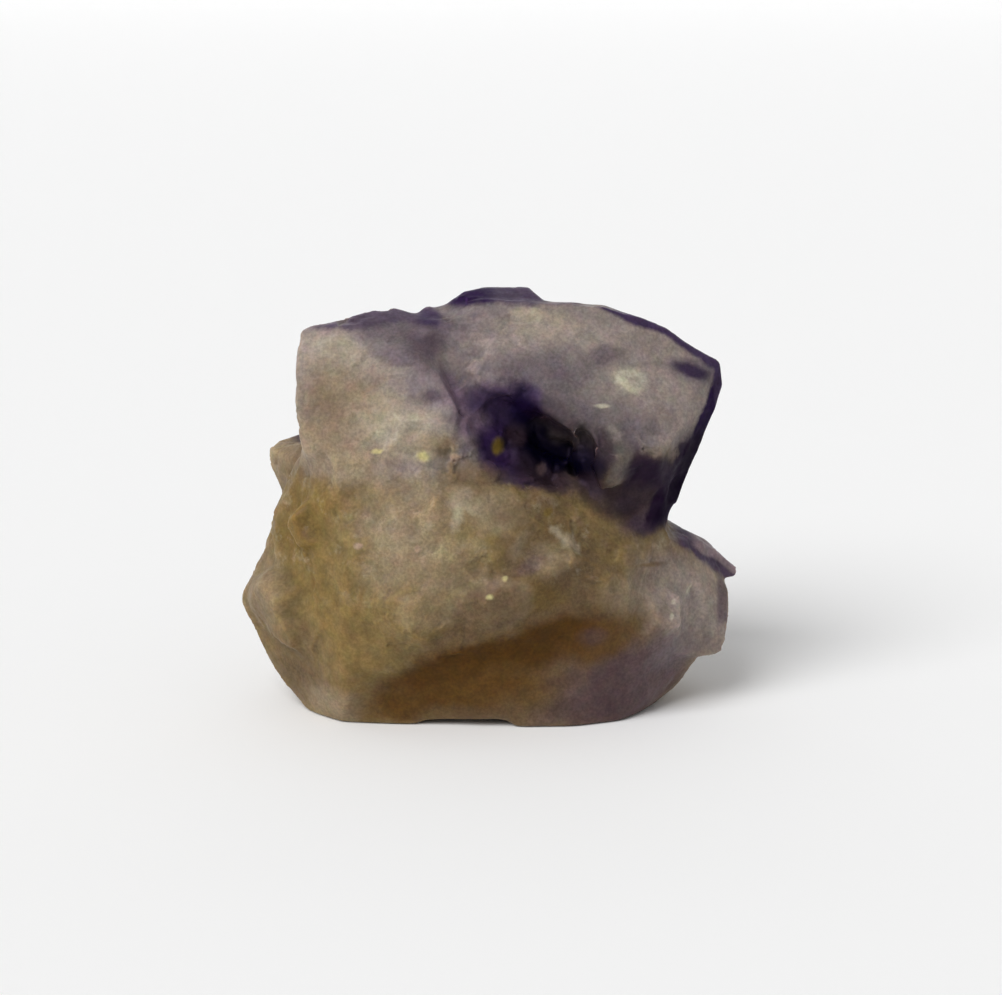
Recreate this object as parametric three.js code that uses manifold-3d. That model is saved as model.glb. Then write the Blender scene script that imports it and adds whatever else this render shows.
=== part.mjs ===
// A hand specimen of blue john, the banded purple and honey-coloured fluorite of the Peak District.
// It is one broken lump, about 80 mm wide: a pale crystal block with purple growth faces, a pale
// squarish block beside it, a dark pocket between the two, and a rough honey-coloured mass below.
// Millimetres, +Z up, +X to the right of the side that shows best, which faces -Y. The lump rests
// on the flat break under its foot, at Z = 0, and the origin is under the middle of its bounding box.

import * as THREE from 'three';
import { ConvexGeometry } from 'three/addons/geometries/ConvexGeometry.js';
import { mergeVertices } from 'three/addons/utils/BufferGeometryUtils.js';
import Module from 'manifold-3d';

const wasm = await Module();
wasm.setup();

const REST_Z = 0; // the flat break that the lump stands on
const MIDDLE = new THREE.Vector3(0, 0, 33); // the middle of the stone
const OUTSIDE = 100; // a distance that is well outside the stone
const TO_BACK = new THREE.Vector3(0, 1, 0);

const CHIP_COUNT = 140; // places round the stone that are tried for a cleavage chip
const CHIP_RADIUS = [4, 9]; // the smallest and largest chip, from its middle to its corners
const CHIP_LEAN_DEGREES = [13, 7]; // how far the smallest and largest lean from the surface
const CHIP_HEIGHT = 4; // how tall the prism is that cuts a chip
const CHIP_FLARE = 3; // how much wider that prism is at its outer end
const CHIP_WIDTH_SCALE = 1.25;
const CHIP_LENGTH_SCALE = 0.8;
const GOLDEN_RATIO_PART = 0.618;
const GOLDEN_TURN = Math.PI * (3 - Math.sqrt(5));
const CHIP_TURN_DEGREES = 109;

const LOBE_DETAIL = 1; // how many times the faces of a smoother lump are divided

const UPPER_FRONT_Z = 43; // above this the front has broad faces, which stay whole
const FOOT_FRONT_Z = 14; // below this the front is the smooth face of the foot
const REST_MARGIN = 3; // chips stay this far above the flat break
const OUTLINE_FACING = 0.42; // chips stay off the faces that make the outline seen from the front
const UNDERSIDE_FACING = -0.3; // and off the undersides

const STONE_COLOUR = 0x8d7f74;
const STONE_ROUGHNESS = 0.45;

// A closed geometry as a solid that can be joined and cut.
function solidOf(geometry) {
  geometry.deleteAttribute('normal');
  geometry.deleteAttribute('uv');
  const merged = mergeVertices(geometry, 1e-4);
  return new wasm.Manifold(new wasm.Mesh({
    numProp: 3,
    vertProperties: merged.attributes.position.array,
    triVerts: new Uint32Array(merged.index.array),
  }));
}

// A piece of stone with flat faces, from its corners.
function block(corners) {
  return solidOf(new ConvexGeometry(corners.map((corner) => new THREE.Vector3(...corner))));
}

// Turned about X, Y and Z in degrees, and moved so that its middle is at a point.
function placed(geometry, centre, turnDegrees) {
  const turn = turnDegrees.map(THREE.MathUtils.degToRad);
  geometry.applyQuaternion(new THREE.Quaternion().setFromEuler(new THREE.Euler(...turn)));
  geometry.translate(...centre);
  return solidOf(geometry);
}

// A blunt lump with twelve faces, drawn out to three radii.
function lump(centre, radii, turnDegrees) {
  const geometry = new THREE.DodecahedronGeometry(1);
  geometry.scale(...radii);
  return placed(geometry, centre, turnDegrees);
}

// A smoother lump, with many small faces.
function lobe(centre, radii, turnDegrees) {
  const geometry = new THREE.IcosahedronGeometry(1, LOBE_DETAIL);
  geometry.scale(...radii);
  return placed(geometry, centre, turnDegrees);
}

// A small cube crystal.
function cube(centre, side, turnDegrees) {
  return placed(new THREE.BoxGeometry(side, side, side), centre, turnDegrees);
}

// What a cleavage chip takes away: a flared prism with uneven sides, whose flat underside leans at
// the surface, so that one side of it cuts in to a step and the other runs out.
function chip({ point, face }, radius, leanDegrees, turnDegrees, sides = 5) {
  const lean = THREE.MathUtils.degToRad(leanDegrees);
  const turn = THREE.MathUtils.degToRad(turnDegrees);
  const geometry = new THREE.CylinderGeometry(radius + CHIP_FLARE, radius, CHIP_HEIGHT, sides);
  geometry.translate(0, CHIP_HEIGHT / 2, 0);
  geometry.scale(CHIP_WIDTH_SCALE, 1, CHIP_LENGTH_SCALE);
  geometry.rotateY(turn);
  geometry.rotateX(lean);
  geometry.rotateY(turn * 2);
  geometry.applyQuaternion(
    new THREE.Quaternion().setFromUnitVectors(new THREE.Vector3(0, 1, 0), face.normal),
  );
  geometry.translate(...point);
  return solidOf(geometry);
}

// The solid's surface as a mesh that three.js can aim at and show.
function meshOf(solid, material) {
  const surface = solid.getMesh();
  const geometry = new THREE.BufferGeometry();
  geometry.setAttribute('position', new THREE.BufferAttribute(surface.vertProperties, 3));
  geometry.setIndex(new THREE.BufferAttribute(surface.triVerts, 1));
  return new THREE.Mesh(geometry, material);
}

// The heart of the lump below the pocket, which the outer breaks stand a little proud of.
const lowerHeart = block([
  [-27, -8, 41], [-18, -15, 42.5], [-4, -14.5, 43], [12, -12, 37.5], [22, -9.5, 32], [27.5, -4, 29],
  [-30, -7, 30], [-33, -4, 16], [-28, -10, 6], [-20, -15, 10], [18, -15.5, 14], [32, -5, 14],
  [35, 0, 18], [-10, -19, 30], [10, -18.5, 26], [-18, -17, 26], [27, 15, 27], [35, 10, 19],
  [34, 9, 10], [24, 15, 8], [4, 18, 18], [-18, 17, 15], [-33, 8, 22], [-31, 10, 10], [-27, 10, 40],
  [-6, 16, 40], [16, 17, 36],
]);

// The heart above the pocket.
const upperHeart = block([
  [-28, -8, 52], [-27, -9, 40], [-12, -6, 61], [-3, -6.5, 61], [-7, -11, 50], [2, -11, 50],
  [14, -6, 60], [31, -3, 54], [24, -9, 38], [25.5, -6, 31.5], [12, -11.5, 38], [-4, -12.5, 42],
  [-28, 9, 56], [-12, 13, 60], [16, 17, 60], [35, 15, 50.5], [30.5, 15, 34], [8, 18, 46],
  [-8, 16, 44], [-27, 10, 42],
]);

// The waist that carries the breaks from one heart to the other.
const waist = block([
  [-28.5, -9.5, 47], [-28.5, -9, 38], [-22, -14.5, 46], [-14, -16, 46.5], [-6, -15.4, 46.5],
  [-5, -13.6, 49], [-24, -15.2, 37], [-9, -19, 36.5], [4, -16.5, 35], [15, -13.5, 33.5],
  [3, -12, 42.5], [24, -9, 36], [25, -9, 31], [-28, 10, 50], [-29, 10, 36], [-7, 16, 50],
  [-6, 17, 32], [20, 17, 44], [19, 17, 32], [28, 15, 37], [27.5, 15, 31],
]);

// The broad breaks that make the back, one above and one below the notch on the right.
const backAbove = block([
  [-27.5, 9, 57], [-13, 14, 61], [4, 17, 62.5], [18, 18, 60.5], [33, 17.5, 51], [31.5, 17.5, 40],
  [28.5, 16, 30], [-32, 9.5, 33], [-28.5, 11, 45], [-10, 18.5, 47], [-2, 20.5, 40], [12, 23.5, 31],
  [18, 21.8, 40], [20, 19, 27], [-12, 19, 30], [22, 0, 28], [22, 0, 48], [-20, 0, 30], [-20, 0, 50],
]);
const backBelow = block([
  [-32.5, 9, 34], [-33.5, 9, 18], [-28, 12, 9], [-17, 18.5, 5], [5, 21, 6], [27, 16.5, 8],
  [33, 13, 12], [33.5, 12.5, 17], [28, 15.5, 26], [26, 17, 29], [12, 23.5, 30], [23, 20, 20],
  [-20, 18, 24], [-4, 21.5, 32], [-18, 15, 40], [4, 18, 40], [-20, 0, 10], [24, 0, 10], [22, 0, 28],
  [-20, 0, 38],
]);

// The bulging front of the rough mass, undercut below along a line that climbs to the right.
const belly = block([
  [-22, -14.8, 44], [-16, -16.6, 45], [-6, -16, 45.5], [3, -13.5, 41.5], [9, -13.6, 38.5],
  [17, -12.2, 34], [21, -11, 31], [-21.5, -20, 28], [-9, -23.5, 29.5], [4.5, -22.5, 27],
  [14, -19.5, 26.5], [21, -15.5, 26], [-20, -18.8, 10], [-12, -20.2, 11.5], [-5, -21, 14],
  [6, -20.2, 16.5], [14, -18.4, 19], [21, -16, 20], [-16, -14, 5], [-2, -13, 7], [14, -11, 10],
  [-14, -6, 40], [10, -4, 34],
]);

// The foot, whose underside is the flat break.
const foot = block([
  [-28.5, -8, REST_Z], [-23.5, -14, REST_Z], [-17.5, -15, REST_Z], [4.5, -15, REST_Z],
  [6.5, -17, REST_Z], [13.5, -16.5, REST_Z], [20.5, -13.5, REST_Z], [23.5, -9.5, REST_Z],
  [26.5, -3, REST_Z], [27, 6, REST_Z], [19, 15, REST_Z], [4, 18, REST_Z], [-13, 16, REST_Z],
  [-25, 9, REST_Z], [-22, -17, 10], [-10, -18.6, 12], [8, -18.4, 15], [17, -17.4, 15], [24, -14, 12],
  [33, -5, 8.5], [30.5, -3.5, 4], [34, 8, 9], [28, 15, 9], [5, 21.5, 9], [-18, 18.5, 8],
  [-30, 10, 8], [-33, 0, 8], [-30, -7, 3], [0, 0, 20],
]);

// The honey-coloured flank on the left, which ends in a blunt edge.
const leftFlank = block([
  [-33, 0, 34.5], [-33.5, -4, 31.5], [-36, -3, 27.5], [-37, -2, 23.5], [-40, 0, 16.5], [-39, -2, 15],
  [-35.5, -4, 10.5], [-34.5, -3, 6], [-31, -5, 2], [-29.5, -7, REST_Z], [-27.5, -10, REST_Z],
  [-23.5, -14, REST_Z], [-22.5, -17.8, 6], [-22.5, -19.6, 25], [-24, -15.4, 43], [-28.2, -10, 45],
  [-34, 8, 30], [-37, 6, 17], [-31, 10, 7], [-26, 14, 30], [-27, 4, REST_Z], [-27, 9, 43],
  [-14, -16.5, 41], [-12, -18.5, 24], [-12, -15, 8],
]);

// A swell low on the flank, which breaks its blunt edge.
const flankSwell = block([
  [-38.5, -5, 17], [-36.5, -8.5, 21], [-34.5, -9.5, 14], [-35.7, -7, 12.8], [-32, -13, 18],
  [-31.5, -12, 11], [-38.5, 1, 20], [-38.5, 1, 13], [-26, -12, 22], [-26, -10, 9], [-33, -3, 26],
]);

// The knob that sticks out above the flank.
const knob = block([
  [-35.5, 4, 40.5], [-34, 5, 41.5], [-30, 0, 42.5], [-29, -6, 39.5], [-35.5, 4, 38.5],
  [-34.5, 3, 36.5], [-33, 1, 33], [-33, 8, 41], [-33.5, 9, 35], [-26, 11, 44], [-27, 11, 32],
  [-24, 0, 38],
]);

// The paler right shoulder and the thin ledge along its top, whose outer side is a growth face.
const rightShoulder = block([
  [17, -13, 33], [26, -8.3, 31], [28.5, -4, 28.5], [33, -1, 25.5], [36, 1, 22], [38, 0, 18],
  [38, -2, 15], [38, -3, 10.5], [37, -3.5, 8.5], [32, -7.5, 9], [24, -13.8, 12], [17, -17.6, 14.5],
  [18, -18.6, 24], [10, -19.6, 25], [8, -18, 15], [37, 9, 20], [36, 9, 10], [28, 15, 26],
  [24, 15, 10], [20, 12, 31],
]);
const rightLedge = block([
  [27, -5, 30], [32, -0.5, 26.9], [36, 2, 24.6], [40, 5, 20.7], [40, 4.5, 19.3], [37, 0.5, 20.2],
  [30, -5, 26], [22, 0, 32], [38, 11, 21.4], [38, 11, 19.5], [30, 14.5, 26.8], [24, 6, 20],
]);

// The pale squarish block at the top left, with a greyer face sloping back from its upper edge.
const upperLeft = block([
  [-30, -5, 61], [-30, -7, 58.5], [-30, -11, 48.5], [-29, -12, 46.5], [-28.5, -12, 42],
  [-22, -16, 42], [-14, -17.6, 43.5], [-6, -17, 44], [-5, -15, 49.5], [-7.5, -12.5, 55],
  [-14, -9.5, 59], [-23.5, -6, 62], [-20, -1, 63.5], [-15, 0, 63.5], [-11, -2, 62.5], [-29, 7, 58.5],
  [-28.5, 9, 44], [-12, 12, 60.5], [-6, 12, 44], [-8, 2, 60.5], [-27, -6, 36], [-20, 0, 36],
]);

// The crystal block at the top right: a pale break in front, growth faces on the top and right, and
// a narrow one down its right front edge. Its lower front edge turns under, and a rib stands between
// the pocket and that dark underside.
const upperRight = block([
  [-8, -6, 61], [-4, -1.5, 65.5], [8, -3, 65], [18, -3, 64.7], [21.5, -2.5, 63.3], [27.5, -1, 60.8],
  [31.5, -0.5, 58], [34.4, -1.4, 55.1], [34.7, -1.9, 51.4], [31.7, -4.2, 44.7], [30.1, -5.4, 41.2],
  [26.6, -7.6, 31.5], [36.4, 0.5, 55.3], [36.8, 0, 51.4], [33.8, -2, 44.7], [31.2, -3.5, 38.5],
  [28.6, -4.8, 31], [28.3, -4.5, 29.5], [-1.5, -11, 53.5], [8.5, -14, 47.5], [17, -15.2, 42],
  [26, -12.5, 42.5], [23.5, -9.5, 31.5], [17, -11.5, 35], [37.2, 14, 53], [37.2, 17, 49.5],
  [29.5, 15, 34.5], [33, 18, 52], [18, 18, 61], [0, 18, 62.5], [-8, 14, 58], [-8, 15, 40],
  [10, 16, 36], [0, 14, 36],
]);
const pocketRib = block([
  [16, -15.3, 44.5], [20.5, -15.2, 43], [16.5, -14.8, 38.5], [18.5, -14.6, 35.5], [20.5, -13, 36],
  [17, -8, 45], [21, -8, 40], [17, -8, 34], [20, -8, 33.5],
]);

// The thin raised step on the crest, and the little peak beside it.
const crest = block([
  [-6, 0, 65], [-4, 2, 66], [-1, 4, 66.5], [6, 4, 66.5], [8, 1, 65.2], [6.5, -2, 64.5],
  [-3, -3, 64], [6, 11, 65.3], [-3, 11, 64.8], [9, 16, 62], [-5, 14, 62], [-8, 6, 62], [0, 6, 58],
]);
const peak = block([
  [-12, -1, 62], [-10, 0.5, 64], [-8, 0, 63], [-9, -4, 60.5], [-9, 6, 62.5], [-12, 4, 60],
  [-6, 3, 59],
]);
const saddle = block([
  [-15, -4, 61.5], [-10.5, -7, 60.3], [-8, -6.3, 61], [-11, -2.5, 62.4], [-5, -3.5, 63.5],
  [-2, -3.5, 64.4], [-5, 3, 64.3], [-12, 5, 61.8], [-14, 11, 60.5], [-3, 12, 64], [-9, 14.5, 61],
  [-3, 16, 62.5], [-9, 14.5, 57], [-8, 2, 56],
]);

// Blunt lumps that stand out of the rough mass.
const lumps = [
  lump([-7, -18.6, 34], [8, 4.2, 5.6], [20, 25, 0]),
  lump([10.5, -17.4, 27], [6.5, 4.2, 4.6], [10, -35, 15]),
  lump([-27.5, -11.8, 33], [5.5, 3.6, 6.5], [0, 20, -40]),
  lump([26, -9.5, 16.5], [7, 5, 5.5], [0, 10, 35]),
];

let stone = [
  lowerHeart, upperHeart, waist, backAbove, backBelow, belly, foot, leftFlank, flankSwell, knob,
  rightShoulder, rightLedge, upperLeft, upperRight, pocketRib, crest, peak, saddle, ...lumps,
].reduce((joined, next) => joined.add(next));

// Where a straight line first meets the breaks, and how they face there.
const breaks = meshOf(stone, new THREE.MeshBasicMaterial());
const aim = new THREE.Raycaster();
function meet(from, towards) {
  aim.set(from, towards);
  return aim.intersectObject(breaks)[0];
}

// Cleavage chips all over the rough breaks, in places spaced evenly round the stone.
for (let i = 0; i < CHIP_COUNT; i += 1) {
  const rise = 1 - (2 * i + 1) / CHIP_COUNT;
  const across = Math.sqrt(1 - rise * rise);
  const turn = i * GOLDEN_TURN;
  const away = new THREE.Vector3(across * Math.cos(turn), across * Math.sin(turn), rise);
  const place = meet(MIDDLE.clone().addScaledVector(away, OUTSIDE), away.clone().negate());
  const isSmoothHeight = place.point.z > UPPER_FRONT_Z || place.point.z < FOOT_FRONT_Z;
  const isBroadFace = place.point.y < 0 && isSmoothHeight;
  const isOutline = Math.abs(place.face.normal.y) < OUTLINE_FACING;
  const isUnder = place.face.normal.z < UNDERSIDE_FACING || place.point.z < REST_MARGIN;
  if (isBroadFace || isOutline || isUnder) continue;
  const size = (i * GOLDEN_RATIO_PART) % 1;
  const radius = THREE.MathUtils.lerp(...CHIP_RADIUS, size);
  const lean = THREE.MathUtils.lerp(...CHIP_LEAN_DEGREES, size);
  stone = stone.subtract(chip(place, radius, lean, i * CHIP_TURN_DEGREES, 5 + (i % 2)));
}

// Two smooth lobes, side by side and low on the belly, which no chip has reached.
const lobes = [
  lobe([-12, -15.8, 20], [9.4, 8.2, 8.8], [-12, 12, 8]),
  lobe([1.2, -16.6, 21.5], [7.6, 7.6, 7.2], [-12, -20, 12]),
];
for (const swell of lobes) {
  stone = stone.add(swell);
}

// Broad low chips on the faces of the two upper blocks, each at an X and a Z seen from the front.
function frontChip(x, z, ...rest) {
  return chip(meet(new THREE.Vector3(x, -OUTSIDE, z), TO_BACK), ...rest);
}
const faceChips = [
  frontChip(19, 52, 8, 4, 30, 6),
  frontChip(6, 58, 7, 4, 200),
  frontChip(27, 48, 6, 5, 80),
  frontChip(12, 47.5, 4, 6, 150),
  frontChip(29.5, 56, 2.5, 12, 20),
  frontChip(21.5, 54, 2.6, 9, 250),
  frontChip(-22, 51, 8, 4, 300, 6),
  frontChip(-12, 48, 6, 5, 60),
  frontChip(-19, 58, 5, 5, 120),
  frontChip(-27, 45, 3.5, 9, 10),
];

// The dark pocket between the two upper blocks: a shallow end on the left, a deep one on the right,
// a way from one to the other, and two clefts that run up from it.
const pocketCuts = [
  block([
    [-5.5, -22, 50], [0, -22, 54.5], [6, -22, 54.5], [8, -22, 46], [2, -22, 40], [-4, -22, 43],
    [-3, -10.5, 47.5], [2, -8, 51], [6, -7, 47], [1, -9, 43],
  ]),
  block([
    [3, -22, 53], [8, -22, 52.5], [9.5, -22, 48], [14.5, -22, 45.5], [15.8, -22, 43],
    [16.5, -22, 36], [14, -22, 35.8], [7, -22, 37.5], [0, -22, 41], [5, -22, 46], [6, -5, 48],
    [13, -4, 43.5], [14, -6, 38], [7, -6, 40],
  ]),
  block([
    [1, -22, 51], [9, -22, 49], [7, -22, 39.5], [0, -22, 41.5], [2, -8, 48.5], [7, -6, 47],
    [6.5, -6.5, 41.5], [2, -8.5, 43],
  ]),
  block([
    [3.8, -22, 56], [6.2, -22, 56], [8, -22, 50], [2.6, -22, 48], [4.6, -8, 53], [6, -8, 52.5],
    [6.4, -7, 47], [3.8, -7, 46],
  ]),
  block([
    [13.4, -22, 49], [15.4, -22, 48.5], [17, -22, 43], [12.6, -22, 42.5], [14, -9, 46.6],
    [15, -9, 46.2], [15.2, -8, 41], [13.4, -8, 41],
  ]),
];

// Small cubes that stand on the walls of the pocket.
const pocketCubes = [
  cube([4.5, -8.5, 41.5], 4.5, [20, 35, 15]),
  cube([0.5, -9.5, 45], 3.5, [40, 10, 60]),
  cube([8, -7.5, 40], 3.5, [70, 25, 5]),
  cube([10.8, -6.8, 38], 3.8, [15, 60, 30]),
  cube([14.5, -8.5, 41.5], 3.5, [50, 5, 40]),
  cube([5.5, -7, 50], 4, [35, 45, 0]),
  cube([11, -5.5, 46], 3.5, [10, 20, 45]),
];

// The open groove that runs down between two of the lumps.
const groove = block([
  [6.6, -20.5, 35.8], [11.4, -21, 28.2], [-2.4, -25.5, 29.8], [2.4, -25.5, 22.2], [8.5, -17, 31.8],
  [1, -21.2, 26.5],
]);

// Hollows under the foot, which leave the rest of it flat.
const restHollows = [
  lump([-7, -9, REST_Z], [7, 5, 1.5], [0, 0, 15]),
  lump([9, 6, REST_Z], [7, 8, 1.8], [0, 0, 40]),
  lump([-15, 6, REST_Z], [4, 5, 1.2], [0, 0, -20]),
];

// A thin flake that is missing from the front of the foot's lower edge.
const footFlake = block([
  [-15, -19, -2], [4.4, -19, -2], [4.4, -19, 1.8], [-13, -19, 1.4], [-9, -10.5, REST_Z],
  [2, -11, REST_Z], [-9, -10.5, -2], [2, -11, -2],
]);

for (const cut of [...faceChips, ...pocketCuts, groove, footFlake, ...restHollows]) {
  stone = stone.subtract(cut);
}
for (const crystal of pocketCubes) {
  stone = stone.add(crystal);
}

const specimen = meshOf(
  stone,
  new THREE.MeshStandardMaterial({ color: STONE_COLOUR, roughness: STONE_ROUGHNESS, metalness: 0 }),
);
specimen.name = 'blue_john_lump';

// The origin goes under the middle of the bounding box.
specimen.geometry.computeBoundingBox();
const centre = specimen.geometry.boundingBox.getCenter(new THREE.Vector3());
specimen.geometry.translate(-centre.x, -centre.y, 0);

const group = new THREE.Group();
group.add(specimen);

export default group;
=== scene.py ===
import math
from itertools import product

import bmesh
import bpy
import numpy as np
from mathutils import Matrix, Vector


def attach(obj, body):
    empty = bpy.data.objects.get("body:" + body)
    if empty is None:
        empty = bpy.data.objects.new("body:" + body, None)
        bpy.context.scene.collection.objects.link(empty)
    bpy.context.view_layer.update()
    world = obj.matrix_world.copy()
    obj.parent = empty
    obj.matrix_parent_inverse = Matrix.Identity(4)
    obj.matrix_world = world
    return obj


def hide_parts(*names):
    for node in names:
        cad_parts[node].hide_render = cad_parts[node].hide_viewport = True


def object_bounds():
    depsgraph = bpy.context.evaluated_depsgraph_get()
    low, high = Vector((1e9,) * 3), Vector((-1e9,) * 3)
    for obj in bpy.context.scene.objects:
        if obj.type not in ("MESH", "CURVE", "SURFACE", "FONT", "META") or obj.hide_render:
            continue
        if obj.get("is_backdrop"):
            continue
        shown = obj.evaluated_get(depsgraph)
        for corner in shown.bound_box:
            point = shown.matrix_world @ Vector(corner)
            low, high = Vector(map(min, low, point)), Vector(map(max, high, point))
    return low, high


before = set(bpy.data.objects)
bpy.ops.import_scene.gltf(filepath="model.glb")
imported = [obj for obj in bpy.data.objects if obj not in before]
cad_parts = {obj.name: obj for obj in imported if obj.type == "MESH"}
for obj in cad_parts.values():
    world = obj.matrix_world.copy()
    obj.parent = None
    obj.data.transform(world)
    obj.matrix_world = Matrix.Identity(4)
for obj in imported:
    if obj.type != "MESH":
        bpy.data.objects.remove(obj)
cad_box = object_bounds()

# The camera looks slightly down at the lump's best side, from about half a metre in front of it.
LOOK_AT = Vector((0.0017, 0.0001, 0.0333))
CAMERA_DISTANCE = 0.445
CAMERA_ELEVATION = math.radians(12)

camera_data = bpy.data.cameras.new("camera")
camera_data.lens = 100
camera_data.sensor_width = 36
camera_data.clip_start = 0.01
camera = bpy.data.objects.new("camera", camera_data)
bpy.context.scene.collection.objects.link(camera)
backwards = Vector((0, -math.cos(CAMERA_ELEVATION), math.sin(CAMERA_ELEVATION)))
camera.location = LOOK_AT + backwards * CAMERA_DISTANCE
camera.rotation_mode = "QUATERNION"
camera.rotation_quaternion = (-backwards).to_track_quat("-Z", "Y")
bpy.context.scene.camera = camera

# The floor is one pale sheet that curves up behind the lump, as in a photographer's studio.
FLOOR_HALF_WIDTH = 5.0
SWEEP_RADIUS = 0.8
WALL_HEIGHT = 4.0
PALE = (0.93, 0.93, 0.93, 1)

bm = bmesh.new()
bmesh.ops.create_grid(bm, x_segments=1, y_segments=1, size=FLOOR_HALF_WIDTH)
back_edge = [edge for edge in bm.edges if all(v.co.y > 0 for v in edge.verts)]
sweep = bmesh.ops.spin(
    bm,
    geom=back_edge,
    cent=(0, FLOOR_HALF_WIDTH, SWEEP_RADIUS),
    axis=(1, 0, 0),
    angle=math.radians(90),
    steps=24,
)
wall_foot = [part for part in sweep["geom_last"] if isinstance(part, bmesh.types.BMEdge)]
wall = bmesh.ops.extrude_edge_only(bm, edges=wall_foot)
wall_top = [part for part in wall["geom"] if isinstance(part, bmesh.types.BMVert)]
bmesh.ops.translate(bm, verts=wall_top, vec=(0, 0, WALL_HEIGHT))
floor_mesh = bpy.data.meshes.new("floor")
bm.to_mesh(floor_mesh)
bm.free()
for face in floor_mesh.polygons:
    face.use_smooth = True
floor = bpy.data.objects.new("floor", floor_mesh)
bpy.context.scene.collection.objects.link(floor)
paper = bpy.data.materials.new("pale_paper")
paper.use_nodes = True
paper.node_tree.nodes["Principled BSDF"].inputs["Base Color"].default_value = PALE
paper.node_tree.nodes["Principled BSDF"].inputs["Roughness"].default_value = 0.9
floor_mesh.materials.append(paper)
floor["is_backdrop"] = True

# Soft light: a pale room, and a broad lamp high in front of the lump and a little to the left.
ROOM_STRENGTH = 0.42
KEY_STRENGTH = 2.4
KEY_SOFTNESS = math.radians(40)
KEY_ELEVATION = math.radians(42)
KEY_TO_THE_LEFT = math.radians(35)

room = bpy.data.worlds.new("room")
room.use_nodes = True
room.node_tree.nodes["Background"].inputs["Color"].default_value = (1, 1, 1, 1)
room.node_tree.nodes["Background"].inputs["Strength"].default_value = ROOM_STRENGTH
bpy.context.scene.world = room
bpy.context.scene.view_settings.view_transform = "Standard"
key_data = bpy.data.lights.new("key_lamp", "SUN")
key_data.angle = KEY_SOFTNESS
key_data.energy = KEY_STRENGTH
key_lamp = bpy.data.objects.new("key_lamp", key_data)
key_lamp.rotation_euler = (math.pi / 2 - KEY_ELEVATION, 0, -KEY_TO_THE_LEFT)
bpy.context.scene.collection.objects.link(key_lamp)

# The lump is one piece of fluorite, broken from its vein. Its mesh is the solid's own, given the
# finer breaks that the stone shows: shallow scallops, then leaning cleavage facets of two sizes.
# The pitch of the mesh is in metres, and all other places and sizes on the stone in millimetres.
GRAIN_PITCH = 0.00047
MM = 1000.0
# Rounds of healing for all of the stone, and how many more its rounder parts get.
HEALING_ROUNDS = 18
MASS_ROUNDS = 25
BELLY_ROUNDS = 34
POCKET_ROUNDS = 25
# The height past which ridges are worn down, and how sharply they are.
MOST_RELIEF = 0.35
RELIEF_LIMIT = 4
NOTCH_DEPTH = 0.9
# Rounds of smoothing that give the stone round a point, and that calm what comes of it.
BROAD_ROUNDS = 10
CALM_ROUNDS = 3
# Each cell takes its lot from a table, by a number worked out from the cell's place.
LOTS = 8192
CELL_FACTORS = (73856093, 19349663, 83492791)

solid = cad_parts["blue_john_lump"]
bm = bmesh.new()
bm.from_mesh(solid.data)
bmesh.ops.remove_doubles(bm, verts=bm.verts, dist=1e-6)
coarse = bpy.data.meshes.new("coarse_stone")
bm.to_mesh(coarse)
bm.free()
stone = bpy.data.objects.new("blue_john", coarse)
bpy.context.scene.collection.objects.link(stone)
remesh = stone.modifiers.new("grain", "REMESH")
remesh.mode = "VOXEL"
remesh.voxel_size = GRAIN_PITCH
fine = bpy.data.meshes.new_from_object(stone.evaluated_get(bpy.context.evaluated_depsgraph_get()))
stone.modifiers.clear()
stone.data = fine

count = len(fine.vertices)
points = np.empty(count * 3)
fine.vertices.foreach_get("co", points)
points = points.reshape(-1, 3) * MM
one_end, other_end = np.array([edge.vertices[:] for edge in fine.edges]).T
neighbours = np.bincount(one_end, minlength=count) + np.bincount(other_end, minlength=count)


def around(values):
    """The mean of each point's neighbours."""
    sums = [
        np.bincount(one_end, values[other_end, i], count)
        + np.bincount(other_end, values[one_end, i], count)
        for i in range(values.shape[1])
    ]
    return np.stack(sums, axis=1) / neighbours[:, None]


def facing(points):
    """The way that the surface faces at each point."""
    fine.vertices.foreach_set("co", (points / MM).ravel())
    fine.update()
    return np.array([normal.vector for normal in fine.vertex_normals])


def blend_in(value, low, high):
    """0 below low, 1 above high, and a smooth rise between."""
    share = np.clip((value - low) / (high - low), 0, 1)
    return share * share * (3 - 2 * share)


def cells_near(points, cell, seed):
    """Each point's way from the middles of the 27 loosely spaced cells round it, and their lot."""
    lots = np.random.default_rng(seed).random((LOTS, 7))
    home = np.floor(points / cell).astype(np.int64)
    for step in product((-1, 0, 1), repeat=3):
        index = home + step
        number = np.bitwise_xor.reduce(index * CELL_FACTORS, axis=1)
        lot = lots[number % LOTS]
        yield points - (index + lot[:, :3]) * cell, lot[:, 3:]


def scallops(points, cell, lean, hollow, seed):
    """Shallow leaning dishes with ridges between them."""
    height = np.full(len(points), np.inf)
    for away, lot in cells_near(points, cell, seed):
        tilted = lean * ((lot[:, :3] - 0.5) * away).sum(1)
        height = np.minimum(height, tilted + hollow * (away * away).sum(1) / cell)
    return height - height.mean()


def facets(points, cell, lean, step, seed):
    """Flat facets that lean their own way and meet at small steps, and a lot for each facet."""
    nearest = np.full(len(points), np.inf)
    height = np.zeros(len(points))
    tone = np.zeros(len(points))
    for away, lot in cells_near(points, cell, seed):
        distance = (away * away).sum(1)
        closer = distance < nearest
        nearest = np.where(closer, distance, nearest)
        tilted = lean * ((lot[:, :3] - 0.5) * away).sum(1) + step * (lot[:, 3] - 0.5)
        height = np.where(closer, tilted, height)
        tone = np.where(closer, lot[:, 0], tone)
    return height, tone


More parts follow.
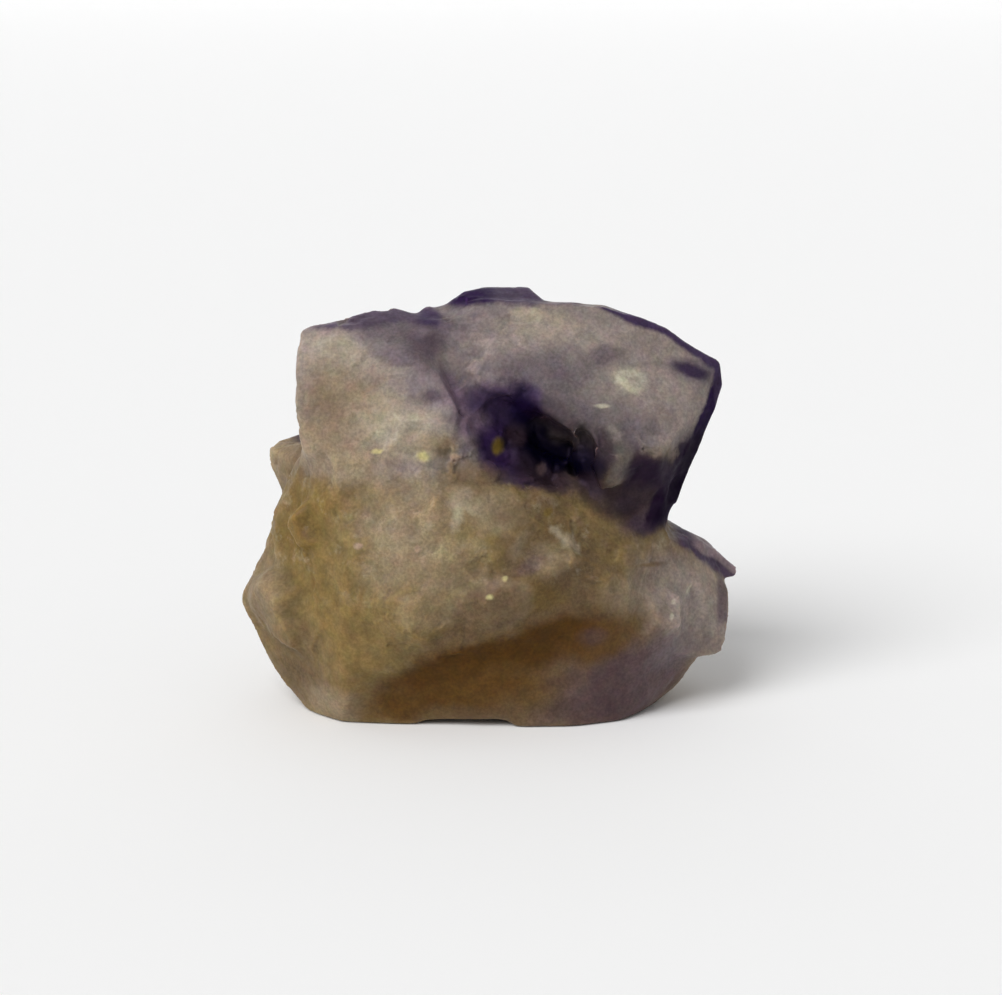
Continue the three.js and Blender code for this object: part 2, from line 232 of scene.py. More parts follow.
# The sharp nicks between the solid's blocks are healed: hollows fill up, and ridges mostly stay.
# The rough mass in front, the belly under it and the pocket are healed for longer, and the notches
# at the sides hardly at all. The low corner of the right growth face is worn round, and so is the
# thin tip on the ridge behind it.
outward = facing(points)
x, y, z = points.T.copy()
in_pocket = blend_in(-np.hypot((x - 8) / 10, (z - 45.5) / 8), -1.25, -0.95) * blend_in(-y, 2, 4)
at_side = np.maximum(blend_in(-x, 28, 32), blend_in(x, 24, 29))
on_mass = blend_in(-z, -44, -40) * blend_in(-y, 3, 8) * (1 - in_pocket)
at_corner = blend_in(-np.hypot(x - 28.4, z - 30.6), -3, -1.5)
at_tip = blend_in(-np.linalg.norm(points - (30, 14.2, 26.7), axis=1), -3.5, -2)
worn_round = np.maximum(at_corner, at_tip)
on_belly = blend_in(-np.hypot((x + 8) / 15, (z - 18) / 8), -1.2, -0.9) * blend_in(-y, 8, 12)
rounds = (
    HEALING_ROUNDS + MASS_ROUNDS * on_mass + BELLY_ROUNDS * on_belly + POCKET_ROUNDS * in_pocket
)
wear = 0.05 + 0.1 * on_mass + 0.3 * in_pocket
for turn in range(HEALING_ROUNDS + MASS_ROUNDS + BELLY_ROUNDS):
    pull = around(points) - points
    filling = (pull * outward).sum(1) > 0
    amount = np.where(filling, 0.5, wear) * (turn < rounds) * (1 - 0.7 * at_side)
    points += pull * np.maximum(amount, 0.5 * worn_round)[:, None]

# The pale faces of the two upper blocks, the growth faces and the foot are smoother than the rest.
outward = facing(points)
front = blend_in(-outward[:, 1], 0.1, 0.5)
right_face = front * blend_in(x, 2, 8) * blend_in(z, 44, 50)
left_face = front * blend_in(-x, 5, 8) * blend_in(z, 39, 45)
growth_top = blend_in(outward[:, 2], 0.45, 0.75) * blend_in(x, -8, 0) * blend_in(z, 48, 54)
growth_side = blend_in(outward[:, 0], 0.55, 0.8) * blend_in(z, 30, 34)
foot_face = front * blend_in(-z, -13, -9)
smooth = np.clip(right_face + growth_top + growth_side + 0.8 * foot_face + 0.8 * left_face, 0, 1)
rough = (1 - 0.75 * smooth) * (1 - 0.5 * on_mass) * (1 - 0.4 * at_side)
near_rest = blend_in(z, 0.2, 3.5)
drift = scallops(points, 3.1, 0.9, 0.6, 5)[:, None] * np.array([1.1, -0.7, 0.9])
large_facets, large_lot = facets(points + drift, 4.8, 0.5, 0.35, 23)
small_facets, small_lot = facets(points + 0.6 * drift, 2.2, 0.6, 0.2, 37)
depth = (
    0.6 * scallops(points, 8.5, 0.45, 0.42, 11) * (1 - 0.5 * smooth)
    + 0.6 * large_facets * rough
    + 0.4 * small_facets * rough
)
notch = blend_in(-np.hypot((x + 31.5) / 3, (z - 47) / 3), -1.2, -0.4)
depth = depth - NOTCH_DEPTH * notch
depth = MOST_RELIEF - np.logaddexp(0, (MOST_RELIEF - depth) * RELIEF_LIMIT) / RELIEF_LIMIT
points += outward * (depth * near_rest)[:, None]
low, high = (np.array(corner) * MM for corner in cad_box)
points = np.clip(points, low, high)

# How far each point stands proud of the stone round it. The colour makes the ridges paler, as
# wear, and the recesses darker, as painted shade.
broad = points.copy()
for _ in range(BROAD_ROUNDS):
    broad = around(broad)
outward = facing(points)
proud = ((points - broad) * outward).sum(1)
for _ in range(CALM_ROUNDS):
    proud = around(proud[:, None])[:, 0]
for name, values in (
    ("proud", proud),
    ("large_facet", large_lot * rough),
    ("small_facet", small_lot * rough),
):
    fine.attributes.new(name, "FLOAT", "POINT").data.foreach_set("value", values)
for face in fine.polygons:
    face.use_smooth = True
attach(stone, "root")
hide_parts("blue_john_lump")


class Shade:
    """A value or colour in a material. Sums and products of such values add their own nodes."""

    def __init__(self, tree, socket=None):
        self.tree = tree
        self.socket = socket

    def node(self, kind, settings, inputs, output=0):
        """Any node: its settings first, then the values or links of its sockets."""
        made = self.tree.nodes.new(kind)
        for name, value in settings.items():
            setattr(made, name, value)
        for name, value in inputs.items():
            if isinstance(value, Shade):
                self.tree.links.new(value.socket, made.inputs[name])
            else:
                made.inputs[name].default_value = value
        return Shade(self.tree, made.outputs[output])

    def math(self, operation, first, second):
        inputs = {0: first, 1: second}
        return self.node("ShaderNodeMath", {"operation": operation}, inputs)

    def __add__(self, other):
        return self.math("ADD", self, other)

    def __radd__(self, other):
        return self.math("ADD", other, self)

    def __sub__(self, other):
        return self.math("SUBTRACT", self, other)

    def __rsub__(self, other):
        return self.math("SUBTRACT", other, self)

    def __mul__(self, other):
        return self.math("MULTIPLY", self, other)

    def __rmul__(self, other):
        return self.math("MULTIPLY", other, self)

    def vector(self, operation, other):
        output = 1 if operation in ("DOT_PRODUCT", "LENGTH") else 0
        settings = {"operation": operation}
        return self.node("ShaderNodeVectorMath", settings, {0: self, 1: other}, output)

    def scaled(self, factor):
        inputs = {0: self, "Scale": factor}
        return self.node("ShaderNodeVectorMath", {"operation": "SCALE"}, inputs)

    def rise(self, low, high, to_low=0.0, to_high=1.0):
        """A smooth rise from one value to another as this one goes from low to high."""
        inputs = {"Value": self, 1: low, 2: high, 3: to_low, 4: to_high}
        return self.node("ShaderNodeMapRange", {"interpolation_type": "SMOOTHSTEP"}, inputs)

    def over(self, under, share):
        """This colour laid over another one."""
        settings = {"data_type": "RGBA"}
        return self.node("ShaderNodeMix", settings, {0: share, 6: under, 7: self}, 2)


fluorite = bpy.data.materials.new("fluorite")
fluorite.use_nodes = True
tree = fluorite.node_tree
surface = tree.nodes["Principled BSDF"]
shade = Shade(tree)
place = shade.node("ShaderNodeTexCoord", {}, {}, 3).scaled(MM)


def cloud(size, detail, rough, seed):
    """Soft noise whose patches are about this many millimetres across, from 0 to 1."""
    settings = {"noise_dimensions": "4D"}
    inputs = {"Vector": place, "W": seed, "Scale": 1 / size, "Detail": detail, "Roughness": rough}
    return shade.node("ShaderNodeTexNoise", settings, inputs)


# How much of its colour the lit stone shows, and the pale sheen that its gloss adds.
LIGHT_ON_STONE = 0.985
SHEEN = 0.004


def linear(value):
    """A screen's value as an amount of light, both from 0 to 1."""
    return value / 12.92 if value < 0.04045 else ((value + 0.055) / 1.055) ** 2.4


def colour(red, green, blue):
    """A colour from how the lit, glossy stone looks on a screen, each part from 0 to 255."""
    paint = shade.node("ShaderNodeRGB", {}, {})
    lit = [max(linear(value / 255) - SHEEN, 0) / LIGHT_ON_STONE for value in (red, green, blue)]
    paint.socket.default_value = (*lit, 1)
    return paint


# The stone's colours.
lilac_grey = colour(134, 124, 118)
pale_lilac = colour(150, 138, 130)
pale_cream = colour(168, 157, 134)
milk_and_reflection = colour(168, 160, 146)
white_glint = colour(190, 183, 162)
straw_glint = colour(192, 184, 130)
milky_honey = colour(150, 134, 108)
beige = colour(142, 126, 102)
ash_lilac = colour(118, 108, 110)
smoke = colour(100, 91, 95)
warm_grey = colour(94, 84, 84)
smoke_brown = colour(68, 60, 60)
tongue_grey = colour(92, 86, 80)
dusky = colour(86, 74, 82)
purple = colour(64, 51, 76)
deep_purple = colour(40, 26, 58)
ink = colour(10, 4, 22)
blue_black = colour(24, 18, 48)
dark_plum_and_shade = colour(48, 37, 43)
deep_plum = colour(31, 19, 36)
plum_brown = colour(88, 71, 71)
lilac_brown = colour(99, 83, 83)
lifted_mauve = colour(122, 102, 118)
rosy_grey = colour(134, 118, 120)
dove = colour(130, 116, 104)
golden = colour(107, 87, 47)
honey = colour(129, 110, 70)
olive_gold = colour(127, 105, 60)
tan = colour(116, 98, 70)
brown = colour(102, 84, 60)
amber_brown = colour(92, 66, 26)
deep_brown_and_shade = colour(79, 53, 12)
ochre = colour(104, 86, 34)
rose_glint = colour(176, 150, 130)

# All boundaries waver with the same soft noise, the broad ones more than the narrow ones.
noise = {"Vector": place, "Scale": 1 / 5, "Detail": 5.0, "Roughness": 0.62}
waver = shade.node("ShaderNodeTexNoise", {}, noise, 1).vector("SUBTRACT", (0.5, 0.5, 0.5))
wavy, ripple, quiver = (place.vector("ADD", waver.scaled(reach)) for reach in (8.0, 3.6, 1.6))


def patch(centre, radii, turn, soft, where, strength=1.0):
    """This strength inside an egg-shaped part of the stone and 0 outside it, with a soft edge."""
    turned = Matrix.Rotation(math.radians(turn), 3, "Y")
    axes = [axis / radius for axis, radius in zip(turned.col, radii)]
    middle = [axis.dot(Vector(centre)) for axis in axes]
    if turn:
        ends = {i: where.vector("DOT_PRODUCT", tuple(axes[i])) for i in range(3)}
        away = shade.node("ShaderNodeCombineXYZ", {}, ends).vector("SUBTRACT", middle)
    else:
        inputs = {0: where, 1: [1 / radius for radius in radii], 2: [-value for value in middle]}
        away = shade.node("ShaderNodeVectorMath", {"operation": "MULTIPLY_ADD"}, inputs)
    return away.vector("LENGTH", (0, 0, 0)).rise(1 + soft, 1 - soft, 0, strength)


def laid_over(under, where, patches):
    """A colour with patches of other colours over it, each laid over those before it."""
    for paint, centre, radii, turn, soft, strength in patches:
        under = paint.over(under, patch(centre, radii, turn, soft, where, strength))
    return under


def part_of(vector, index):
    """One of the three numbers of a place: across, deep or up."""
    return shade.node("ShaderNodeSeparateXYZ", {}, {0: vector}, index)


# The mass: honey-coloured below and lilac-grey above, both with clouds and milky patches.
across, deep, up = (part_of(place, index) for index in range(3))
height = part_of(wavy, 2)
lower = tan.over(honey, cloud(6.0, 3.0, 0.5, 2.0).rise(0.42, 0.62))
lower = beige.over(lower, cloud(3.5, 4.0, 0.6, 3.0).rise(0.48, 0.64) * 0.5)
upper = ash_lilac.over(lilac_grey, cloud(5.0, 4.0, 0.6, 10.0).rise(0.46, 0.64) * 0.8)
upper = pale_lilac.over(upper, cloud(4.0, 3.0, 0.55, 11.0).rise(0.52, 0.66) * 0.6)
base = upper.over(lower, height.rise(38.5, 44.5))

# Its broad parts. Each row gives a patch's colour, middle, half sizes, turn in degrees, softness
# of the edge and strength.
broad_parts = (
    (olive_gold, (-27, -12, 33), (8, 10, 8), 0, 0.5, 0.9),
    (olive_gold, (-28, -13, 26), (7, 10, 8), 0, 0.5, 0.8),
    (olive_gold, (-22.5, -18, 17), (6, 10, 11), 0, 0.6, 0.8),
    (honey, (-31, -10, 17), (6, 9, 8), 0, 0.5, 0.7),
    (tan, (-30, -8, 11), (7, 9, 5), 0, 0.6, 0.7),
    (beige, (-37, -6, 20), (4.5, 9, 6), 0, 0.6, 0.7),
    (brown, (-37.5, -4, 17), (3, 8, 7), 0, 0.6, 0.35),
    (brown, (-30, -8, 6), (7, 8, 4), 0, 0.6, 0.7),
    (tan, (-33, 2, 39), (5, 9, 5), 0, 0.5, 0.9),
    (honey, (-15, -20, 18), (9, 9, 8), 0, 0.6, 0.7),
    (milky_honey, (-14, -20, 31), (9, 9, 6), 0, 0.6, 0.85),
    (honey, (-22, -18, 27), (4.5, 8, 6), 0, 0.5, 0.9),
    (beige, (-8, -19, 38), (9, 8, 4), 0, 0.6, 0.7),
    (honey, (-9, -22, 23), (8, 8, 4), 0, 0.6, 0.7),
    (brown, (3, -22, 20.5), (7, 8, 4.5), 10, 0.5, 0.8),
    (brown, (9, -17, 33.5), (9, 8, 4), 22, 0.6, 0.6),
    (brown, (8, -19, 26), (7, 8, 5), 0, 0.6, 0.5),
    (brown, (18, -15, 25), (9, 9, 7), 20, 0.6, 0.5),
    (brown, (15, -18, 19), (9, 9, 4), 0, 0.6, 0.8),
    (beige, (22.5, -14, 21.5), (4.5, 8, 3.2), 0, 0.6, 0.8),
    (dove, (27, -10, 22.5), (5.5, 8, 5.5), 0, 0.5, 0.8),
    (brown, (-5, -20, 15), (8, 8, 2.4), -22, 0.6, 0.7),
    # the dark band under the belly: deep brown that is partly the stone's own and partly painted
    # shade under the overhang
    (deep_brown_and_shade, (8.5, -18, 14), (10, 8, 4), -18, 0.4, 0.95),
    (deep_brown_and_shade, (-5, -18, 11), (9, 8, 3.4), -20, 0.4, 0.95),
    (deep_brown_and_shade, (-12, -16, 5), (6.5, 7, 4), -20, 0.5, 0.8),
    (amber_brown, (-1, -16, 6), (12, 8, 4.5), -8, 0.6, 0.95),
    (brown, (-1.5, -15, 1.5), (9, 7, 2.2), 0, 0.6, 0.7),
    (plum_brown, (22, -13, 6), (12, 10, 8.5), 0, 0.5, 0.95),
    (lilac_brown, (27, -11, 6), (6, 10, 6), 0, 0.6, 0.8),
    (amber_brown, (17, -17, 14), (6, 8, 3), -15, 0.5, 0.8),
    (plum_brown, (12, -16, 2.5), (6, 8, 3), -20, 0.6, 0.7),
    (beige, (-25, -14, 3), (5, 8, 3.2), 0, 0.6, 0.8),
    (amber_brown, (-17, -14, 2.4), (4.5, 8, 2.4), 0, 0.6, 0.6),
    (golden, (-30.5, -10, 30), (4, 8, 5), 0, 0.7, 0.35),
    (honey, (-12.5, -23, 19), (3, 8, 3), 0, 0.7, 0.4),
    (pale_lilac, (32, -7, 18), (7.4, 10, 6.5), 0, 0.5, 0.85),
    (ash_lilac, (30, -9, 11), (5, 8, 3.5), 0, 0.6, 0.7),
    (lilac_grey, (36, -2, 11), (4, 8, 5), 0, 0.6, 0.8),
    (ash_lilac, (-17, -3, 60), (13, 9, 4), 8, 0.5, 0.9),
    (smoke, (-7.5, -9, 58), (5, 8, 3.2), 50, 0.5, 0.8),
    (ash_lilac, (-2, -6, 61.5), (6, 8, 2.4), 0, 0.6, 0.8),
    (pale_lilac, (3, -7, 60), (8, 8, 3), 0, 0.6, 0.6),
    (smoke, (8, -9, 55.5), (8, 8, 2.6), 5, 0.6, 0.75),
    (smoke, (12, -11, 50), (5.5, 8, 3.2), 30, 0.6, 0.7),
    (smoke, (23, -10, 49), (5, 8, 2.6), 10, 0.6, 0.8),
    (pale_lilac, (18.5, -6, 60.5), (6.5, 8, 3.2), 15, 0.6, 0.6),
    (pale_lilac, (26, -4, 58), (8, 8, 2.6), 25, 0.6, 0.6),
    (pale_lilac, (25, -8, 51.5), (7, 8, 5), 20, 0.6, 0.7),
)
base = laid_over(base, ripple, broad_parts)

# Milky clouds in the lower mass.
milky = height.rise(42.0, 38.0) * height.rise(17, 26)
base = pale_cream.over(base, cloud(3.2, 5.0, 0.65, 12.0).rise(0.54, 0.68) * milky * 0.35)

# The pale squarish block on the left, whose broken edge is round and crisp at the top and right.
pale_block = patch((-22.5, -9, 45.5), (17.4, 22, 16), 0, 0.07, quiver) * height.rise(37, 43)
base = pale_lilac.over(base, pale_block)
finer_parts = (
    (dusky, (-16, -6, 61.2), (9.3, 14, 4.0), 29, 0.12, 0.5),
    (ash_lilac, (-16, -6, 61.4), (9, 14, 3.8), 29, 0.15, 0.95),
    (warm_grey, (-10.5, -7, 58.5), (3.5, 9, 3), 40, 0.7, 0.8),
    (tan, (-31, 0, 40.5), (3.4, 16, 3.4), 0, 0.5, 0.8),
    (beige, (-35.5, 4, 39.5), (4, 9, 5), 0, 0.4, 0.8),
    (beige, (-22, -13, 45), (9, 8, 6), 0, 0.7, 0.9),
    (beige, (-22, -12, 51), (8, 8, 5), 0, 0.7, 0.9),
    (beige, (-26, -11, 50.5), (5, 8, 6), 0, 0.7, 0.8),
    (pale_cream, (-14.5, -15, 48), (5.5, 8, 3.6), 10, 0.7, 0.9),
    (milk_and_reflection, (-12.5, -15, 47), (3.5, 8, 2.6), 0, 0.7, 0.4),
    (ash_lilac, (-10.3, -13, 54), (4, 8, 3), -30, 0.7, 0.7),
    (beige, (-9.5, -16, 45), (3.5, 8, 2.2), 0, 0.7, 0.8),
    (tan, (-26, -11, 50.5), (3.4, 8, 3.6), 20, 0.8, 0.4),
    (lilac_grey, (-30.5, -6, 52), (3.6, 10, 6), 0, 0.6, 0.5),
    (pale_cream, (-23, -8, 58), (5, 7, 2.5), 10, 0.7, 0.6),
    (dusky, (-8.8, -13.5, 52.1), (1.7, 6, 1.2), 0, 0.7, 0.8),
    # the dark pocket, from its shallow end on the left to the deep one on the right: its purple
    # and near-black are partly the stone's own and partly painted shade of the hollow
    (dusky, (-0.5, -10, 49.8), (7, 9, 4.6), 0, 0.4, 0.9),
    (purple, (1.2, -9, 49.4), (6, 9, 4.2), 0, 0.4, 0.85),
    (deep_purple, (2.8, -9, 48.8), (4.6, 9, 3.8), 0, 0.6, 0.7),
    (deep_purple, (1.6, -11, 43.4), (4.4, 8, 3.4), 10, 0.4, 0.95),
    (deep_purple, (4.6, -13, 40.2), (6.4, 8, 2.2), 12, 0.35, 0.9),
    (dark_plum_and_shade, (8, -8, 41), (5, 9, 3.6), 10, 0.5, 0.95),
    (dark_plum_and_shade, (9.5, -13, 38.6), (3.6, 8, 1.6), 15, 0.4, 0.9),
    (dark_plum_and_shade, (8, -10, 48.2), (4, 9, 3.4), 20, 0.8, 0.8),
    (dark_plum_and_shade, (12.5, -11, 43.6), (4.6, 9, 3.4), 30, 0.6, 0.8),
    (blue_black, (5.4, -9, 48.8), (2.1, 9, 4.4), -2, 0.6, 0.95),
    (ink, (9, -7, 42.8), (7, 9, 3.6), 30, 0.5, 1.0),
    (ink, (15.2, -10, 40.4), (2.9, 8, 3.8), 12, 0.5, 1.0),
    (smoke_brown, (13, -9, 45.9), (3.2, 8, 2.1), 20, 0.6, 0.85),
    (deep_plum, (9, -11, 47.4), (5, 8, 1.2), 32, 0.7, 0.6),
    # the turned-under face to the right of it, and the lip under it, whose dark plum is partly the
    # stone's purple and partly painted shade of faces turned down
    (dark_plum_and_shade, (24.5, -9.5, 36), (7, 9, 6.3), -12, 0.4, 0.95),
    (dark_plum_and_shade, (24, -12, 39.6), (5, 9, 3), 12, 0.25, 0.9),
    (deep_plum, (25, -11, 39.6), (4.6, 9, 2), 12, 0.5, 0.8),
    (dark_plum_and_shade, (21.6, -12, 44.4), (0.9, 8, 3.2), -28, 0.6, 0.8),
    (dark_plum_and_shade, (18, -12, 35), (4, 8, 1.8), 15, 0.5, 0.7),
    (purple, (24, -9, 31), (3, 6, 1.4), 0, 0.5, 0.5),
    (plum_brown, (13, -11, 37.4), (3, 6, 1.3), 15, 0.5, 0.6),
    (tan, (-6.6, -16, 44.6), (1.6, 7, 1.8), 0, 0.6, 0.7),
    (brown, (-2.5, -17, 40.2), (4.5, 7, 2.0), 10, 0.6, 0.6),
    # the grey rib between them
    (tongue_grey, (20, -15, 42.4), (1.8, 6, 4), 12, 0.4, 0.95),
    (tongue_grey, (18.9, -15, 38.8), (1.1, 6, 1.6), 25, 0.5, 0.7),
    (dark_plum_and_shade, (17.4, -13, 43.4), (1.8, 6, 3.8), -5, 0.5, 0.85),
    (smoke, (23, -11, 46.4), (2.6, 6, 2.4), 0, 0.7, 0.7),
    (ink, (16.3, -15, 40.4), (1.5, 6, 3.4), 8, 0.5, 0.8),
    # pale crystals in the rough mass, and the dark gap between its two lobes
    (pale_cream, (-4.8, -20, 37.2), (1.5, 5, 1.6), 0, 0.6, 0.85),
    (milky_honey, (-5, -21.5, 28), (4, 6, 3), 0, 0.7, 0.4),
    (brown, (4.5, -15, 3.5), (6, 7, 3), 0, 0.6, 0.4),
    (pale_cream, (-2.8, -20, 36), (1.4, 5, 0.9), 30, 0.5, 0.8),
    (pale_cream, (-5, -21, 34.3), (0.9, 5, 1.5), 10, 0.6, 0.7),
    (pale_cream, (10.4, -17, 31.6), (0.9, 5, 0.6), 0, 0.6, 0.6),
    (pale_cream, (12, -17, 30.4), (1.2, 5, 0.8), 35, 0.7, 0.7),
    (pale_cream, (13.4, -17, 29), (0.7, 5, 0.8), 0, 0.6, 0.5),
    (golden, (6.8, -21, 22), (4.4, 8, 2.6), 0, 0.6, 0.8),
    (milky_honey, (-9, -22, 25.4), (6, 8, 2), 10, 0.6, 0.6),
    (milky_honey, (1, -18, 34.8), (4, 8, 2.8), 15, 0.6, 0.8),
    (brown, (-3, -23, 18.5), (4.5, 8, 3.5), 20, 0.3, 0.6),
    (milky_honey, (-8.6, -23, 21), (5.8, 8, 3.9), -12, 0.25, 0.45),
    (beige, (1, -22, 21.3), (5.8, 8, 4.2), -12, 0.2, 0.6),
    (brown, (0.1, -22, 20.4), (5.6, 8, 4), -12, 0.3, 0.75),
    (brown, (3, -20, 29), (3.8, 6, 1.1), -40, 0.7, 0.3),
    (milky_honey, (4.6, -19.5, 30.2), (2.2, 6, 0.9), -40, 0.7, 0.6),
    (milky_honey, (9.6, -19.5, 28.2), (2.6, 6, 1.6), 0, 0.7, 0.6),
    (brown, (4, -18.5, 34.6), (2.6, 6, 1.8), 20, 0.7, 0.5),
    (plum_brown, (6.2, -20, 27.4), (2.4, 6, 1.2), -20, 0.6, 0.6),
    (plum_brown, (16, -17, 15), (2.2, 7, 1.4), 0, 0.6, 0.5),
)
base = laid_over(base, ripple, finer_parts)

# Small marks, which waver less and so keep their places.
small_marks = (
    # the two mauve marks are painted lighter than the stone, as painted light that lifts the shade
    # in the crease between the blocks
    (lifted_mauve, (-2.2, -12, 47.4), (2.2, 5, 1.8), 0, 0.6, 0.85),
    (lifted_mauve, (-5.6, -10, 51.6), (1.3, 5, 4.4), -25, 0.6, 0.7),
    (deep_purple, (-0.8, -12, 45.1), (1.4, 5, 1.6), 0, 0.6, 0.8),
    (dusky, (-3.2, -14, 44.6), (1.6, 5, 0.9), 0, 0.6, 0.6),
    (dusky, (-7.3, -5, 61.8), (1.6, 5, 1.2), 0, 0.6, 0.8),
    (pale_lilac, (-6, -8, 56.8), (2.8, 5, 1.5), 20, 0.7, 0.6),
    (smoke, (-5, -6.5, 60.4), (2.4, 5, 1.2), 0, 0.7, 0.5),
    # dark plum under the pocket's lip, partly the stone's purple and partly painted shade
    (dark_plum_and_shade, (11, -13, 38.1), (2, 5, 1.3), 15, 0.6, 0.7),
    (dark_plum_and_shade, (16.4, -12, 37.6), (2.6, 5, 1.7), 15, 0.6, 0.85),
    (brown, (8.7, -15.5, 36.2), (2, 5, 1.2), 15, 0.6, 0.5),
    (brown, (-3.2, -18, 38.4), (2.4, 5, 2), 0, 0.6, 0.4),
    (smoke_brown, (10.6, -7.5, 44.3), (1.6, 5, 1.3), 20, 0.6, 0.6),
    (milky_honey, (-16.6, -20, 25.4), (3.4, 6, 3.4), 0, 0.7, 0.5),
    # dark plum in the pocket, partly the stone's purple and partly painted shade
    (dark_plum_and_shade, (4, -8, 45), (1.8, 5, 1.5), 0, 0.5, 0.9),
    (purple, (6.4, -10, 52.2), (1.7, 5, 1.3), 20, 0.6, 0.7),
    (plum_brown, (25, -8.5, 32.4), (2.2, 5, 1.4), 0, 0.6, 0.5),
    (plum_brown, (7.8, -9.6, 39.8), (0.8, 4, 0.8), 0, 0.5, 0.8),
    (ochre, (1.2, -11.4, 43.8), (0.9, 4, 1.2), 0, 0.5, 1.0),
    (dusky, (17.9, -7, 57.4), (2.8, 6, 1.4), 0, 0.6, 0.6),
    # a painted reflection off a cleavage plane on the right block, a pale patch with two bright
    # streaks, and then a painted glint
    (milk_and_reflection, (21.8, -7.5, 53.6), (2.8, 6, 1.8), 12, 0.25, 0.85),
    (white_glint, (21.2, -7.7, 53), (2, 6, 0.5), 38, 0.6, 0.7),
    (white_glint, (22, -7.4, 54.5), (2, 6, 0.5), 5, 0.6, 0.6),
    (white_glint, (17.4, -10.6, 50), (1.2, 5, 0.3), 4, 0.6, 0.8),
    (purple, (32, -3, 54.3), (4, 6, 1.6), 15, 0.5, 0.6),
    (deep_purple, (31.8, -3, 54.2), (3, 6, 0.9), 16, 0.5, 0.8),
    (pale_cream, (6.2, -4, 63.4), (2.4, 6, 0.8), 5, 0.5, 0.7),
    (pale_cream, (7.5, -5, 62), (6, 6, 1.8), 5, 0.7, 0.4),
    (purple, (-9.6, -2, 62.6), (1.9, 5, 1.2), 10, 0.5, 0.9),
    (dusky, (-10.1, -7, 59.2), (2.8, 5, 2), 20, 0.6, 0.7),
    (milky_honey, (-21.5, -16, 41.6), (4, 6, 2.4), 15, 0.6, 0.8),
    (pale_cream, (-9.9, -17, 43.3), (1.7, 5, 0.8), 0, 0.5, 0.9),
    # the rose and straw specks here are painted glints off tiny facets
    (rose_glint, (-20.2, -20, 29.8), (0.6, 4, 0.45), 0, 0.6, 0.8),
    (rose_glint, (-11.1, -22, 30), (0.5, 4, 0.45), 0, 0.6, 0.8),
    (rose_glint, (-5.3, -16.5, 43), (0.8, 5, 0.6), 0, 0.6, 0.8),
    (ochre, (8.9, -16.3, 34.5), (0.8, 4, 0.6), 0, 0.5, 0.6),
    (straw_glint, (2.3, -22, 25.5), (0.4, 4, 0.4), 0, 0.6, 0.8),
    (straw_glint, (-0.1, -23.6, 22.7), (0.45, 4, 0.4), 0, 0.6, 0.7),
    (straw_glint, (-17.3, -16.5, 44), (0.9, 4, 0.35), -15, 0.6, 0.8),
    (straw_glint, (-10.2, -17, 43.4), (0.9, 4, 0.6), 30, 0.6, 0.9),
    (lilac_brown, (27, -12, 15.6), (3.4, 5, 2.6), 0, 0.7, 0.4),
    (pale_lilac, (31.2, -8, 16.8), (3.2, 8, 4.2), 0, 0.6, 0.8),
    (pale_lilac, (33.2, -5.3, 16), (0.8, 5, 2.2), 10, 0.6, 0.6),
    # painted glints on the ledge
    (white_glint, (31.4, -6, 20), (0.4, 4, 0.9), 30, 0.6, 0.7),
    (white_glint, (28.9, -12, 18.9), (0.35, 4, 0.4), 10, 0.5, 0.7),
    (white_glint, (28.5, -12.4, 16.9), (0.3, 4, 0.4), -10, 0.5, 0.6),
    (amber_brown, (25, -11, 24.9), (2.2, 5, 0.3), 8, 0.7, 0.5),
)
base = laid_over(base, quiver, small_marks)


# The growth skins on the right block, the crest and the ledge are purple, each with a sharp outer
# side. The same purple makes uneven bands where the growth went on inside the stone, at the back.
def depth_under(direction, point, where):
    """How deep the stone lies inside a flat growth face, from a point on that face."""
    normal = Vector(direction).normalized()
    return normal.dot(Vector(point)) - where.vector("DOT_PRODUCT", tuple(normal))


def skin(direction, point, thickness, soft, where):
    """1 within a thickness of a flat growth face, and 0 deeper down."""
    return depth_under(direction, point, where).rise(thickness + soft, thickness - soft)


def band(level, middle, half, above, under):
    """1 in a band round a level, which fades by other distances above and under it."""
    top = level.rise(middle + half + above, middle + half)
    return top * level.rise(middle - half - under, middle - half)


